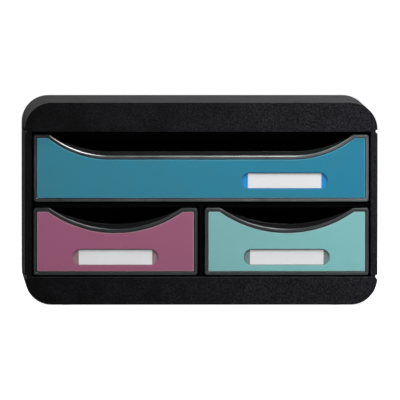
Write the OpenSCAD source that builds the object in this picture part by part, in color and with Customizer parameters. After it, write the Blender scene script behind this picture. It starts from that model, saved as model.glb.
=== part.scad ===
// Desktop drawer unit: a rounded black case with one wide drawer above two narrow ones.
// +X is the width, -Y the front, +Z up; the origin is under the middle of the feet.

/* [Case] */
// Overall width of the case
case_w = 355; // [320:1:420]
// Overall depth of the case, front to back
case_d = 270; // [230:1:330]
// Height of the rounded top cap
cap_h = 29.5; // [24:0.5:40]
// Height of the rounded base, without its feet
base_h = 28; // [24:0.5:40]
// Outer corner radius of the caps, seen from the front
corner_r = 27; // [12:0.5:30]
// Straight height kept between a cap's open edge and its rounded corner
straight_h = 1; // [0.5:0.1:3]
// Wall of the top cap and base mouldings
cap_wall = 3.5; // [2.8:0.1:5]
// Height of the shadow groove where a cap meets a side panel
seam_h = 4; // [2:0.5:6]
// Depth of that groove, in from the side
seam_d = 1.8; // [0.8:0.1:2.2]
// Length of that groove, from the front
seam_l = 120; // [40:1:200]
// Height of the stiffening ribs under the top cap
cap_rib_h = 4; // [2:0.5:8]
// Thickness of the ribs inside the top cap and the base
cap_rib_t = 2; // [1.5:0.1:3]
// Spacing of the ribs inside the top cap and the base
cap_rib_pitch = 110; // [80:1:120]

/* [Side panels] */
// Outer skin of a side panel
panel_skin = 3; // [2.5:0.1:4]
// Width of a side panel's front edge, seen from the front
flange_w = 6.8; // [6:0.1:10]
// Thickness of the flanges around a side panel
flange_t = 3.5; // [2.5:0.1:5]
// Thickness of a guide rib
guide_t = 2; // [1.5:0.1:3]
// Height of the lower guide rib above a tray's underside
guide_low = 10; // [6:1:16]
// Height of the upper guide rib above a tray's underside
guide_high = 50; // [42:1:54]
// Length of a joining tab on a side panel's edge
tab_l = 24; // [15:1:40]
// Thickness of a joining tab
tab_t = 2; // [1.5:0.1:2.5]
// Reach of a joining tab into the cap or base
tab_h = 6; // [4:0.5:8]
// Distance of the joining tabs from the middle of the panel
tab_y = 70; // [50:1:90]

/* [Back panel] */
// Thickness of the back panel
back_t = 3; // [2.5:0.1:4]
// Depth of the sunk field in the back panel
field_d = 1; // [0.5:0.1:1.5]
// Margin around the sunk field
field_margin = 18; // [12:1:30]
// Corner radius of the sunk field
field_r = 8; // [4:1:12]
// Height of a snap hook on the back panel
hook_h = 10; // [6:1:16]
// Thickness of a snap hook's arm
hook_t = 2; // [1.5:0.1:2.5]

/* [Rows] */
// Height of a drawer front
drawer_h = 67.5; // [64:0.5:80]
// Height of a tray's underside above its deck
run_h = 1.7; // [1.2:0.1:3]
// Space above a narrow drawer's front, up to the shelf
head_gap = 2.7; // [2.6:0.1:6]
// Space above the wide drawer's front, up to the top cap
roof_gap = 2.8; // [2.6:0.1:6]
// Thickness of the middle shelf
shelf_t = 2.1; // [2:0.1:4]
// Thickness of the bay floor
deck_t = 2.5; // [2:0.1:4]
// Thickness of the centre divider
divider_t = 3.6; // [3:0.1:5]
// Set-back of the shelf and divider behind the case front
shelf_recess = 5; // [4.5:0.5:7]
// Width of a runner ridge
ridge_w = 6; // [4:0.5:10]
// Distance of a runner ridge's middle from the tray's edge
ridge_in = 12; // [10:1:20]
// Thickness of the low ribs that hold the divider's edges
channel_t = 1.5; // [1:0.1:1.8]
// Height of those ribs
channel_h = 1.2; // [0.8:0.1:1.2]

/* [Drawers] */
// Gap between a drawer front and what is beside it
side_gap = 2; // [1.5:0.1:3]
// Set-back of the drawer fronts behind the case front
front_recess = 3; // [1:0.5:5]
// Thickness of a drawer's front moulding
front_t = 5; // [4.5:0.1:7]
// Corner radius of a drawer front
front_r = 2.5; // [1:0.1:2.8]
// Wall and floor thickness of a tray
tray_wall = 2.2; // [1.8:0.1:3]
// Height of a tray's side and rear walls
tray_h = 62; // [56:0.5:62]
// Set-in of a tray's side walls from its front's edges
body_inset = 1; // [0.5:0.1:2]
// Gap between a tray and the back panel
rear_gap = 8; // [7:0.5:15]
// Length that a drawer can be pulled out
drawer_travel = 190; // [120:1:190]
// Length of a stop lug along the tray wall
lug_l = 8; // [5:1:12]
// Space between a drawer front's top and the stop lip above it
stop_clear = 0.6; // [0.4:0.1:1]
// Thickness of the stop lips under the shelf
stop_lip_t = 2.2; // [1.6:0.1:3]

/* [Scoops] */
// Width of the shoulders left beside a scoop
shoulder_w = 15.8; // [10:0.1:24]
// Depth of the wide drawer's scoop
wide_scoop_d = 21.5; // [14:0.5:28]
// Length of the straight middle of the wide drawer's scoop
wide_scoop_flat = 184; // [120:1:200]
// Depth of a narrow drawer's scoop
small_scoop_d = 21.5; // [14:0.5:28]
// Height by which the inner lip stands above the wide scoop's edge
wide_lip_rise = 4.5; // [2:0.5:8]
// Height by which the inner lip stands above a narrow scoop's edge
small_lip_rise = 5.5; // [2:0.5:8]

/* [Face plates and labels] */
// Width of the black rim around a face plate
rim_w = 3; // [2:0.1:5]
// Thickness of a face plate
plate_t = 2.4; // [2.2:0.1:2.8]
// Depth of a face plate's surface behind the rim
plate_sink = 0.5; // [0.2:0.1:0.8]
// Corner radius of a face plate
plate_r = 1; // [0.5:0.1:2]
// Length of the obround label window
window_w = 86.5; // [80:0.5:100]
// Height of the label window
window_h = 16.5; // [15.8:0.1:20]
// Thickness of the clear window
window_t = 1.2; // [0.8:0.1:1.3]
// Length of a label card
card_w = 74; // [60:0.5:74]
// Height of a label card
card_h = 15; // [10:0.1:15]
// Thickness of a label card
card_t = 0.4; // [0.3:0.1:0.5]
// Distance of the wide drawer's label from the right-hand edge of its front
wide_label_in = 84.7; // [60:0.1:100]
// Height of the wide drawer's label above the drawer's underside
wide_label_z = 21; // [18:0.5:30]
// Height of a narrow drawer's label above the drawer's underside
small_label_z = 18; // [15:0.5:28]

/* [Feet] */
// Radius of a rubber foot
foot_r = 7; // [5:0.5:9]
// Height by which a foot stands out under the base
foot_proud = 1; // [0.5:0.1:2.5]
// Depth of the pocket that a foot is pressed into
foot_pocket = 1.5; // [1:0.1:2]
// Distance of a foot's centre from the front and rear faces
foot_in_y = 28; // [20:1:50]
// Distance of a foot's centre from the side
foot_in_x = 42; // [40:1:70]

/* [Fits] */
// Clearance of a moving tray over its ridges and between its guides
run_gap = 0.3; // [0.2:0.05:0.5]
// Clearance around pieces that are fitted together
fit_gap = 0.2; // [0.1:0.05:0.3]

/* [Hidden] */
$fn = 96;
cut = 1;                                       // overshoot of a cutting body

// heights
deck_z = foot_proud + base_h;                  // top of the bay floor and the base
lower_z = deck_z + run_h;                      // underside of the lower trays
shelf_z = lower_z + drawer_h + head_gap + shelf_t; // top of the middle shelf
upper_z = shelf_z + run_h;                     // underside of the wide tray
roof_z = upper_z + drawer_h + roof_gap;        // lower edge of the top cap

// depths
front_y = -case_d / 2;
back_y = case_d / 2;
drawer_y = front_y + front_recess;             // front of the drawer fronts
shelf_y = front_y + shelf_recess;              // front edge of the shelf and divider
panel_back_y = back_y - back_t;                // inner face of the back panel
flange_back_y = panel_back_y - flange_t;       // front face of the rear flanges
tray_l = panel_back_y - rear_gap - drawer_y;   // whole length of a tray
lip_y = front_t + tray_wall;                   // rear face of a tray's inner lip

// widths
skin_x = case_w / 2 - panel_skin;              // inner face of a side panel's skin
bay_x = case_w / 2 - flange_w;                 // inner edge of the front flanges
wide_w = 2 * (bay_x - side_gap);               // wide drawer front
small_w = bay_x - divider_t / 2 - 2 * side_gap;
small_x = divider_t / 2 + side_gap + small_w / 2;
guide_x = bay_x - side_gap - body_inset + run_gap;
wide_label_x = wide_w / 2 - wide_label_in;
hook_mid = (guide_low + guide_t + guide_high) / 2;  // hooks sit midway between the guides
corner = min(corner_r, min(cap_h, base_h) - straight_h);
inner_corner = corner - cap_wall;

// drawer stops
stop_lip_h = head_gap - stop_clear;            // shelf's stop lip, hanging down
lug_overlap = stop_lip_h - 2 * fit_gap;        // height that a lug shares with its stop
lower_stop = drawer_h + stop_clear;            // stop edges above a tray's underside
upper_stop = drawer_h + roof_gap;
lower_lug_y = shelf_recess + stop_lip_t + run_gap + drawer_travel - front_recess;
upper_lug_y = cap_wall + run_gap + drawer_travel - front_recess;

function arc_r(run, rise) = (run * run + rise * rise) / (2 * rise);

// ---------- shared shapes ----------

// An outline in the XZ plane, given depth from y0 back to y1
module slab(y0, y1) {
    translate([0, y1, 0]) rotate([90, 0, 0]) linear_extrude(y1 - y0) children();
}

// A block between two corners
module block(low, high) {
    translate(low) cube(high - low);
}

module both_sides() {
    for (side = [0, 1]) mirror([side, 0, 0]) children();
}

module rounded_rect(w, h, r) {
    translate([-w / 2 + r, 0]) square([w - 2 * r, h]);
    translate([-w / 2, r]) square([w, h - 2 * r]);
    for (x = [-w / 2 + r, w / 2 - r], z = [r, h - r]) translate([x, z]) circle(r);
}

module obround(w, h) {
    square([w - h, h], center = true);
    for (side = [-1, 1]) translate([side * (w - h) / 2, 0]) circle(h / 2);
}

// Outline of a cap: flat on its lower edge, rounded at its two upper corners
module cap_outline(w, h, r) {
    intersection() {
        translate([-w / 2, 0]) square([w, h]);
        union() {
            translate([-w / 2, 0]) square([w, h - r]);
            translate([-w / 2 + r, 0]) square([w - 2 * r, h]);
            for (side = [-1, 1]) translate([side * (w / 2 - r), h - r]) circle(r);
        }
    }
}

// Hollow of a scoop below the height top: two arcs, with a straight middle where flat > 0.
// grow moves its edge outwards, parallel to itself.
module scoop(w, depth, flat, top, grow = 0) {
    r = arc_r((w - flat) / 2, depth) + grow;
    low = top - depth - grow;
    intersection() {
        translate([-w, low]) square([2 * w, top - low + cut]);
        union() {
            for (side = [-1, 1]) translate([side * flat / 2, low + r]) circle(r);
            if (flat > 0) translate([-flat / 2, low]) square([flat, top - low + cut]);
        }
    }
}

// ---------- case ----------

// A cap of height h with its open side at z = 0, its four walls and its shadow grooves
module cap_shell(h) {
    difference() {
        slab(front_y, back_y) cap_outline(case_w, h, corner);
        slab(front_y + cap_wall, back_y - cap_wall) translate([0, -cut])
            cap_outline(case_w - 2 * cap_wall, h - cap_wall + cut, inner_corner);
        both_sides() block([case_w / 2 - seam_d, front_y - cut, -cut],
                           [case_w / 2 + cut, front_y + seam_l, seam_h / 2]);
    }
}

// Front-to-back ribs in a cap of height h, from height z0 up to its closed side
module cap_ribs(h, z0) {
    for (i = [-1, 0, 1])
        block([i * cap_rib_pitch - cap_rib_t / 2, front_y + cap_wall, z0],
              [i * cap_rib_pitch + cap_rib_t / 2, back_y - cap_wall, h - cap_wall]);
}

module top_cap() {
    color("#1b1b1d") translate([0, 0, roof_z]) {
        cap_shell(cap_h);
        cap_ribs(cap_h, cap_h - cap_wall - cap_rib_h);
    }
}

module foot_places() {
    for (sx = [-1, 1], sy = [-1, 1])
        translate([sx * (case_w / 2 - foot_in_x), sy * (case_d / 2 - foot_in_y), 0])
            children();
}

module base_cap() {
    color("#1b1b1d") difference() {
        translate([0, 0, deck_z]) mirror([0, 0, 1]) {
            cap_shell(base_h);
            cap_ribs(base_h, deck_t);
        }
        foot_places() translate([0, 0, foot_proud - cut]) cylinder(r = foot_r, h = foot_pocket + cut);
    }
}

// Places of the joining tabs on the right-hand side, seen from above
module tab_places() {
    for (y = [-tab_y, tab_y]) translate([bay_x + fit_gap, y]) children();
}

module side_panel() {
    row_zs = [lower_z, upper_z];
    difference() {
        union() {
            block([skin_x, front_y, deck_z], [case_w / 2, back_y, roof_z]);
            block([bay_x, front_y, deck_z], [skin_x, front_y + flange_t, roof_z]);
            block([bay_x, flange_back_y, deck_z], [skin_x, panel_back_y, roof_z]);
            for (z = [deck_z, roof_z - flange_t])
                block([bay_x, front_y, z], [skin_x, panel_back_y, z + flange_t]);
            for (z = row_zs, guide = [guide_low, guide_high])
                guide_rib(z + guide);
            guide_rib(shelf_z - shelf_t - guide_t);
            for (z = [deck_z - tab_h, roof_z - flange_t])
                translate([0, 0, z]) linear_extrude(tab_h + flange_t)
                    tab_places() translate([0, -tab_l / 2]) square([tab_t, tab_l]);
        }
        for (z = [deck_z - cut, roof_z - seam_h / 2])
            block([case_w / 2 - seam_d, front_y - cut, z],
                  [case_w / 2 + cut, front_y + seam_l, z + seam_h / 2 + cut]);
    }
}

// A rib that keeps a tray straight; it starts behind the drawer's front moulding
module guide_rib(z) {
    block([guide_x, drawer_y + front_t + side_gap, z], [skin_x, flange_back_y, z + guide_t]);
}

module right_side_panel() {
    color("#1b1b1d") side_panel();
}

module left_side_panel() {
    color("#1b1b1d") mirror([1, 0, 0]) side_panel();
}

// Snap hook at the right-hand edge, reaching round the side panel's rear flange
module snap_hook(z) {
    arm_x = bay_x - fit_gap - hook_t;
    hook_y = flange_back_y - fit_gap - hook_t;
    block([arm_x, hook_y, z], [arm_x + hook_t, panel_back_y, z + hook_h]);
    block([arm_x, hook_y, z], [bay_x + hook_t / 2, hook_y + hook_t, z + hook_h]);
}

module back_panel() {
    w = 2 * (skin_x - fit_gap);
    h = roof_z - deck_z;
    color("#1b1b1d") {
        difference() {
            block([-w / 2, panel_back_y, deck_z], [w / 2, back_y, roof_z]);
            translate([0, 0, deck_z + field_margin]) slab(back_y - field_d, back_y + cut)
                rounded_rect(w - 2 * field_margin, h - 2 * field_margin, field_r);
        }
        both_sides() for (z = [lower_z, upper_z]) snap_hook(z + hook_mid - hook_h / 2);
    }
}

// Two runner ridges under a tray of width w, standing on a deck at height z
module ridges(w, z) {
    both_sides()
        block([w / 2 - ridge_in - ridge_w / 2, drawer_y + front_t + side_gap, z],
              [w / 2 - ridge_in + ridge_w / 2, flange_back_y - rear_gap, z + run_h - run_gap]);
}

// Low ribs beside the divider's edge, from height z
module divider_channel(z) {
    both_sides()
        block([divider_t / 2 + fit_gap / 2, shelf_y + shelf_recess, z],
              [divider_t / 2 + fit_gap / 2 + channel_t, flange_back_y, z + channel_h]);
}

module bay_floor() {
    edge_x = case_w / 2 - cap_wall - 2 * fit_gap;
    edge_y = case_d / 2 - cap_wall - fit_gap;
    color("#1b1b1d") {
        difference() {
            block([-edge_x, -edge_y, deck_z - deck_t], [edge_x, edge_y, deck_z]);
            both_sides() translate([0, 0, deck_z - deck_t - cut]) linear_extrude(deck_t + 2 * cut)
                tab_places() translate([-fit_gap, -tab_l / 2 - fit_gap])
                    square([flange_w, tab_l + 2 * fit_gap]);
        }
        for (side = [-1, 1]) translate([side * small_x, 0, 0]) ridges(small_w, deck_z);
        divider_channel(deck_z);
    }
}

module middle_shelf() {
    edge_x = skin_x - fit_gap;
    under_z = shelf_z - shelf_t;
    color("#1b1b1d") {
        block([-edge_x, shelf_y, under_z], [edge_x, flange_back_y - fit_gap, shelf_z]);
        ridges(wide_w, shelf_z);
        divider_channel(under_z - channel_h);
        both_sides() translate([small_x, 0, 0])
            block([-small_w / 2 + side_gap, shelf_y, under_z - stop_lip_h],
                  [small_w / 2 - side_gap, shelf_y + stop_lip_t, under_z]);
    }
}

module centre_divider() {
    color("#1b1b1d") {
        block([-divider_t / 2, shelf_y, deck_z], [divider_t / 2, panel_back_y, shelf_z - shelf_t]);
        both_sides() for (guide = [guide_low, guide_high])
            block([divider_t / 2, drawer_y + front_t + side_gap, lower_z + guide],
                  [divider_t / 2 + side_gap + body_inset - run_gap, flange_back_y,
                   lower_z + guide + guide_t]);
    }
}

module foot(side_x, side_y) {
    color("#2b2b2b") translate([side_x * (case_w / 2 - foot_in_x), side_y * (case_d / 2 - foot_in_y), 0])
        cylinder(r = foot_r - fit_gap, h = foot_proud + foot_pocket);
}

// ---------- drawers: x = 0 in the middle, y = 0 at the front, z = 0 underneath ----------

module front_outline(w, scoop_d, flat) {
    difference() {
        rounded_rect(w, drawer_h, front_r);
        scoop(w - 2 * shoulder_w, scoop_d, flat, drawer_h);
    }
}

// Outline of the plate's recess: the front's outline, set in by the rim
module plate_outline(w, scoop_d, flat, gap) {
    inset = rim_w + gap;
    difference() {
        translate([0, inset]) rounded_rect(w - 2 * inset, drawer_h - 2 * inset, plate_r);
        scoop(w - 2 * shoulder_w, scoop_d, flat, drawer_h, inset);
    }
}

module tray(w, scoop_d, flat, lip_rise, lug_y, stop_z) {
    box_x = w / 2 - body_inset;
    color("#18181a") {
        difference() {
            slab(0, front_t) front_outline(w, scoop_d, flat);
            slab(-cut, plate_sink + plate_t) plate_outline(w, scoop_d, flat, 0);
        }
        slab(front_t, lip_y) difference() {
            translate([-box_x, 0]) square([2 * box_x, drawer_h]);
            scoop(w - 2 * shoulder_w, scoop_d - lip_rise, flat, drawer_h);
        }
        difference() {
            block([-box_x, front_t, 0], [box_x, tray_l, tray_h]);
            block([-box_x + tray_wall, front_t - cut, tray_wall],
                  [box_x - tray_wall, tray_l - tray_wall, tray_h + cut]);
        }
        both_sides() block([box_x - tray_wall, lug_y, tray_h],
                           [box_x, lug_y + lug_l, stop_z + lug_overlap]);
    }
}

module face_plate(w, scoop_d, flat, label_x, label_z) {
    difference() {
        slab(plate_sink, plate_sink + plate_t) plate_outline(w, scoop_d, flat, fit_gap / 2);
        translate([label_x, 0, label_z]) slab(plate_sink - cut, plate_sink + card_t + window_t)
            obround(window_w, window_h);
    }
}

module label_card() {
    color("#f2f0f2") slab(plate_sink + window_t, plate_sink + window_t + card_t)
        square([card_w, card_h], center = true);
}

module label_window() {
    color([0.9, 0.95, 0.97, 0.4]) slab(plate_sink, plate_sink + window_t)
        obround(window_w - fit_gap, window_h - fit_gap);
}

module at_wide() {
    translate([0, drawer_y, upper_z]) children();
}

module at_left() {
    translate([-small_x, drawer_y, lower_z]) children();
}

module at_right() {
    translate([small_x, drawer_y, lower_z]) children();
}

module wide_drawer_tray() {
    at_wide()
        tray(wide_w, wide_scoop_d, wide_scoop_flat, wide_lip_rise, upper_lug_y, upper_stop);
}

module wide_face_plate() {
    color("#2c7f98") at_wide()
        face_plate(wide_w, wide_scoop_d, wide_scoop_flat, wide_label_x, wide_label_z);
}

module small_tray() {
    tray(small_w, small_scoop_d, 0, small_lip_rise, lower_lug_y, lower_stop);
}

module small_face_plate() {
    face_plate(small_w, small_scoop_d, 0, 0, small_label_z);
}

top_cap();
base_cap();
left_side_panel();
right_side_panel();
back_panel();
bay_floor();
middle_shelf();
centre_divider();
foot(-1, -1);  // front_left_foot
foot(1, -1);  // front_right_foot
foot(-1, 1);  // back_left_foot
foot(1, 1);  // back_right_foot
wide_drawer_tray();
wide_face_plate();
at_wide() translate([wide_label_x, 0, wide_label_z]) label_card();  // wide_label_card
at_wide() translate([wide_label_x, 0, wide_label_z]) label_window();  // wide_label_window
at_left() small_tray();  // left_drawer_tray
color("#8a5068") at_left() small_face_plate();  // left_face_plate
at_left() translate([0, 0, small_label_z]) label_card();  // left_label_card
at_left() translate([0, 0, small_label_z]) label_window();  // left_label_window
at_right() small_tray();  // right_drawer_tray
color("#79b0b0") at_right() small_face_plate();  // right_face_plate
at_right() translate([0, 0, small_label_z]) label_card();  // right_label_card
at_right() translate([0, 0, small_label_z]) label_window();  // right_label_window
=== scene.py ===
"""Looks of a desktop drawer unit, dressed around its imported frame.

A black moulded case, with a rounded cap above and a rounded base below, holds one
wide drawer over two narrow ones. Each drawer is a black tray whose front has a finger
scoop, a coloured face plate inside a black rim, and a white card under a clear label
window. Lengths are metres in the frame's own axes: +X is the width, -Y the front and
+Z up.
"""

import logging
import math
from collections.abc import Iterable, Sequence
from dataclasses import dataclass, field, replace
from enum import Enum
from typing import Any

import bmesh
import bpy
from mathutils import Matrix, Vector


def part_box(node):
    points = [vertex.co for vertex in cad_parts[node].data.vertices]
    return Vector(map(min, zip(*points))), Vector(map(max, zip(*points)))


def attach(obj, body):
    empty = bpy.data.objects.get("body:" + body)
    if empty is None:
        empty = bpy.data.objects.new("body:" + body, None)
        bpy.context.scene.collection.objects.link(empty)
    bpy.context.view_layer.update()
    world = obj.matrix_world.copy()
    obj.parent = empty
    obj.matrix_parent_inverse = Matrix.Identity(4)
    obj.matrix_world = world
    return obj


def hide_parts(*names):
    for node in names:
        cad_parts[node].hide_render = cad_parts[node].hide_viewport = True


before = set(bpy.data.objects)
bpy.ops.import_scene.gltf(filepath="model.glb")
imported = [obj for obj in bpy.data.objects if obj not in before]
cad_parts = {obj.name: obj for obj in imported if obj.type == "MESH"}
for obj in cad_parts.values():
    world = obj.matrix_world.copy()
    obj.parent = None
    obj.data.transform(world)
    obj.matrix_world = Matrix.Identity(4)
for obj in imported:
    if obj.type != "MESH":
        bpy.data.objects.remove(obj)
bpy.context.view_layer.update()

LOG = logging.getLogger("drawer_unit")
MM = 0.001
# Name of the vertex attribute that marks where a painted edge highlight goes.
EDGE_HIGHLIGHT = "edge_light"
ARC_STEPS = 7
SCOOP_STEPS = 28
FILLET_STEPS = 4
BEVEL_STEPS = 3
POCKET_SIDES = 48
PLUG_SIDES = 40
TREAD_SIDES = 32
CORD_SIDES = 8
RIB_COUNT = 3
MERGE_DISTANCE = 0.01 * MM
FLAT_ANGLE = math.radians(1)
CREASE_ANGLE = math.radians(32)
SHARP_ANGLE = math.radians(38)

FLOAT = "NodeSocketFloat"
COLOUR = "NodeSocketColor"
GEOMETRY = "NodeSocketGeometry"
MATERIAL = "NodeSocketMaterial"
SOCKET_OF = {float: FLOAT, int: "NodeSocketInt", tuple: COLOUR}

Point = tuple[float, float]
Place = tuple[float, float, float]
Colour = tuple[float, float, float, float]
Socket = bpy.types.NodeSocket
Tree = bpy.types.NodeTree
Solid = bpy.types.Object

BLACK: Colour = (0.0, 0.0, 0.0, 1.0)
WHITE: Colour = (1.0, 1.0, 1.0, 1.0)
DUST_TONE: Colour = (0.53, 0.51, 0.56, 1.0)


class Body(Enum):
    """The moving bodies of the frame."""

    CASE = "case"
    WIDE = "wide_drawer"
    LEFT = "left_drawer"
    RIGHT = "right_drawer"


class Slot(Enum):
    """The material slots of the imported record."""

    CASE = "case_black"
    INNER = "inner_black"
    TRAY = "tray_black"
    TEAL = "plate_teal"
    PLUM = "plate_plum"
    AQUA = "plate_aqua"
    CARD = "card_white"
    WINDOW = "window_clear"
    RUBBER = "foot_rubber"


# ---------------------------------------------------------------- node sheets


class NodeSheet:
    """Fills a node tree by short calls."""

    def __init__(self, tree: Tree) -> None:
        """Takes the tree to fill."""
        self.tree = tree

    def add(
        self, kind: str, inputs: dict[str | int, Any] | None = None, **settings: Any
    ) -> bpy.types.Node:
        """Adds a node and feeds its inputs.

        Args:
            kind: Blender's name for the type of node.
            inputs: What each input gets, by its name or number.
            **settings: The node's own properties.

        Returns:
            The new node.
        """
        node = self.tree.nodes.new(kind)
        for name, value in settings.items():
            setattr(node, name, value)
        for name, value in (inputs or {}).items():
            self.feed(node.inputs[name], value)
        return node

    def out(
        self,
        kind: str,
        inputs: dict[str | int, Any] | None = None,
        output: str | int = 0,
        **settings: Any,
    ) -> Socket:
        """Adds a node as add() does, and returns one of its outputs."""
        return self.add(kind, inputs, **settings).outputs[output]

    def feed(self, socket: Socket, value: Any) -> None:
        """Gives an input a value, a link, or several links.

        Args:
            socket: The input.
            value: A plain value, an output socket, or a list of output sockets.
        """
        if isinstance(value, Socket):
            self.tree.links.new(value, socket)
        elif isinstance(value, list):
            for source in value:
                self.tree.links.new(source, socket)
        else:
            socket.default_value = value

    def math(self, operation: str, *values: Any, clamp: bool = False) -> Socket:
        """Adds a Math node on the values, kept between 0 and 1 if asked."""
        operands = dict(enumerate(values))
        return self.out("ShaderNodeMath", operands, operation=operation, use_clamp=clamp)

    def blend(self, share: Any, first: Any, second: Any) -> Socket:
        """Mixes two colours: the first where the share is 0, the second where it is 1."""
        return self.out("ShaderNodeMix", {0: share, 6: first, 7: second}, 2, data_type="RGBA")

    def remap(self, value: Any, low: float, high: float, to_low: float, to_high: float) -> Socket:
        """Maps the range from low to high on another one, and clamps it."""
        inputs = {0: value, 1: low, 2: high, 3: to_low, 4: to_high}
        return self.out("ShaderNodeMapRange", inputs)

    def place(self) -> Socket:
        """The place on the piece, in the frame's axes."""
        return self.out("ShaderNodeTexCoord", output="Object")

    def part(self, vector: Socket, axis: str) -> Socket:
        """One part of a vector."""
        return self.out("ShaderNodeSeparateXYZ", {0: vector}, axis)

    def noise(
        self, scale: Any, detail: float, roughness: float = 0.5, distortion: float = 0.0
    ) -> Socket:
        """Cloudy noise over the piece, round 0.5."""
        look = {"Detail": detail, "Roughness": roughness, "Distortion": distortion}
        return self.out("ShaderNodeTexNoise", {"Vector": self.place(), "Scale": scale} | look)


class GroupSheet(NodeSheet):
    """A node group with named inputs and one output."""

    def __init__(
        self,
        name: str,
        inputs: dict[str, Any],
        output: str,
        output_type: str = FLOAT,
        kind: str = "ShaderNodeTree",
    ) -> None:
        """Starts the group.

        Args:
            name: Its name.
            inputs: First value of each input, or its socket type where it has none.
            output: The output's name.
            output_type: The output's socket type.
            kind: The type of the group's tree.
        """
        super().__init__(bpy.data.node_groups.new(name, kind))
        face = self.tree.interface
        for label, value in inputs.items():
            empty = isinstance(value, str)
            socket_type = value if empty else SOCKET_OF[type(value)]
            socket = face.new_socket(label, in_out="INPUT", socket_type=socket_type)
            if not empty:
                socket.default_value = value
        face.new_socket(output, in_out="OUTPUT", socket_type=output_type)
        self.given = self.add("NodeGroupInput").outputs
        self.sink = self.add("NodeGroupOutput")

    def close(self, result: Socket) -> Tree:
        """Gives the group its result and hands over its tree."""
        self.feed(self.sink.inputs[0], result)
        return self.tree


class ShapeSheet(GroupSheet):
    """A geometry tree whose result is made real and gets a material."""

    def __init__(self, name: str, inputs: dict[str, Any]) -> None:
        """Starts the tree, with the material as its last input."""
        inputs = inputs | {"Material": MATERIAL}
        super().__init__(name, inputs, "Geometry", GEOMETRY, "GeometryNodeTree")

    def vector(self, x: Any = 0.0, y: Any = 0.0, z: Any = 0.0) -> Socket:
        """A vector from three values or sockets."""
        return self.out("ShaderNodeCombineXYZ", {0: x, 1: y, 2: z})

    def times(self, value: Any, factor: float) -> Socket:
        """A value times a factor."""
        return self.math("MULTIPLY", value, factor)

    def moved(self, shape: Socket, z: Any) -> Socket:
        """A shape moved up."""
        inputs = {"Geometry": shape, "Translation": self.vector(z=z)}
        return self.out("GeometryNodeTransform", inputs)

    def on_points(self, points: Socket, shape: Socket, **more: Any) -> Socket:
        """Puts a shape on every point and makes it real.

        Args:
            points: The points.
            shape: The shape.
            **more: Further inputs of the node, with their names in lower case.

        Returns:
            The shapes.
        """
        inputs = {"Points": points, "Instance": shape}
        inputs |= {name.capitalize(): value for name, value in more.items()}
        return self.real(self.out("GeometryNodeInstanceOnPoints", inputs))

    def real(self, shape: Socket) -> Socket:
        """A shape with its instances made real."""
        return self.out("GeometryNodeRealizeInstances", {0: shape})

    def close(self, result: Socket) -> Tree:
        """Makes the result real, gives it the material and hands over the tree."""
        inputs = {"Geometry": self.real(result), "Material": self.given["Material"]}
        return super().close(self.out("GeometryNodeSetMaterial", inputs))


class MaterialSheet(NodeSheet):
    """The tree of a new material."""

    def __init__(self, name: str) -> None:
        """Makes the material and empties its tree.

        Args:
            name: The material's name.
        """
        self.made = bpy.data.materials.new(name)
        self.made.use_nodes = True
        super().__init__(self.made.node_tree)
        self.tree.nodes.clear()

    def bump(self, height: Socket, depth: float, strength: float = 1.0) -> Socket:
        """The normal of a surface with this height in it."""
        inputs = {"Height": height, "Strength": strength, "Distance": depth}
        return self.out("ShaderNodeBump", inputs)

    def close(self, look: dict[str, Any]) -> bpy.types.Material:
        """Gives the material its shader.

        Args:
            look: What each input of the shader gets.

        Returns:
            The material.
        """
        shader = self.out("ShaderNodeBsdfPrincipled", look)
        self.add("ShaderNodeOutputMaterial", {"Surface": shader})
        return self.made


# ---------------------------------------------------------------- shared effects


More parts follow.
